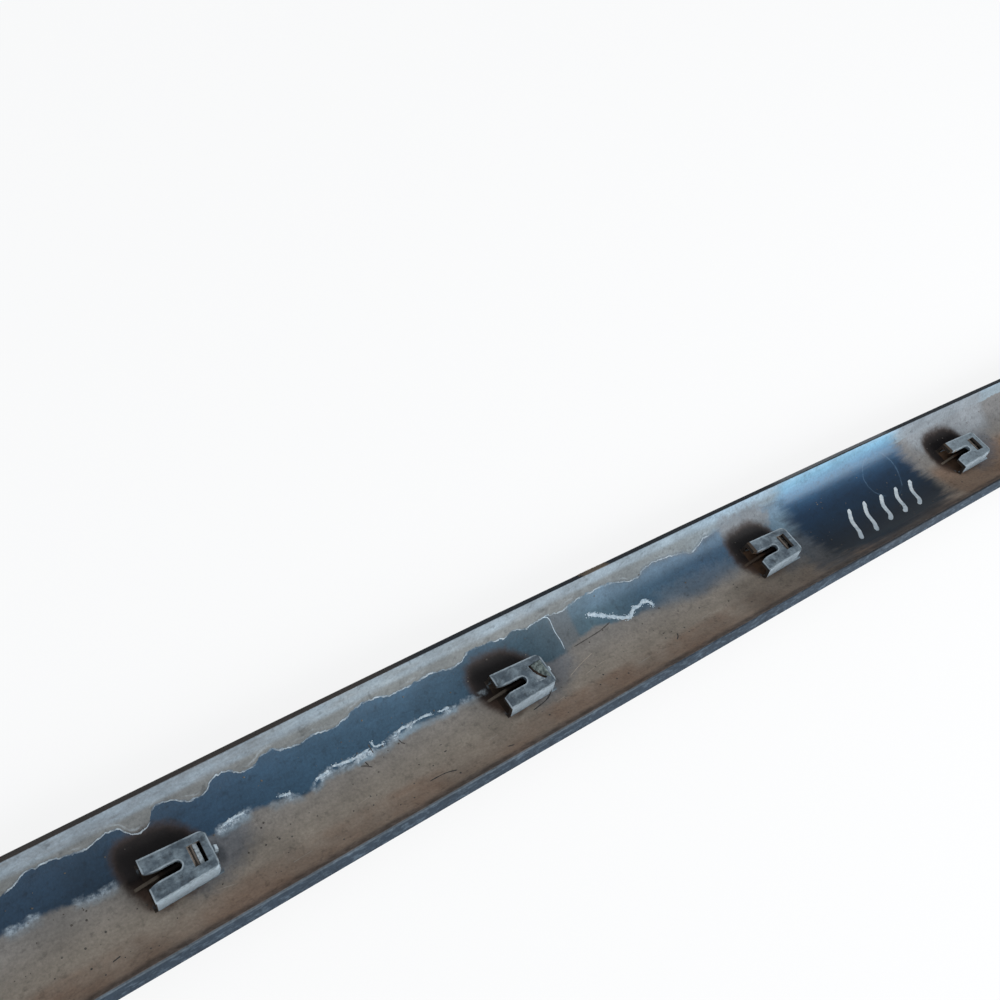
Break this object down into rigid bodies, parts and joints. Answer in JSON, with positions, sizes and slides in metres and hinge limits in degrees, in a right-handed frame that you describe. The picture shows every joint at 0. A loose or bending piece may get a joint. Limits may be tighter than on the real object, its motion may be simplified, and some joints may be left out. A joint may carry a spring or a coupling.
{
  "type": "car body side moulding",
  "caption": "Long shallow plastic car body side moulding with rolled rims and slotted clip towers on its hollow back, worn and dusty.",
  "frame": {"origin": "on the flat of the outer face, at mid-length and mid-width", "axes": "+X along the strip towards its narrower end, +Y across it towards the top rim, +Z out of the hollow back, towards the door it is clipped to"},
  "size_m": [1.04, 0.0688, 0.0165],
  "materials": {
    "side_moulding": "dark blue-grey injection-moulded plastic, satin, with dried mud and dust on the back"
  },
  "bodies": {
    "root": {"side_moulding": "side_moulding"}
  },
  "joints": []
}
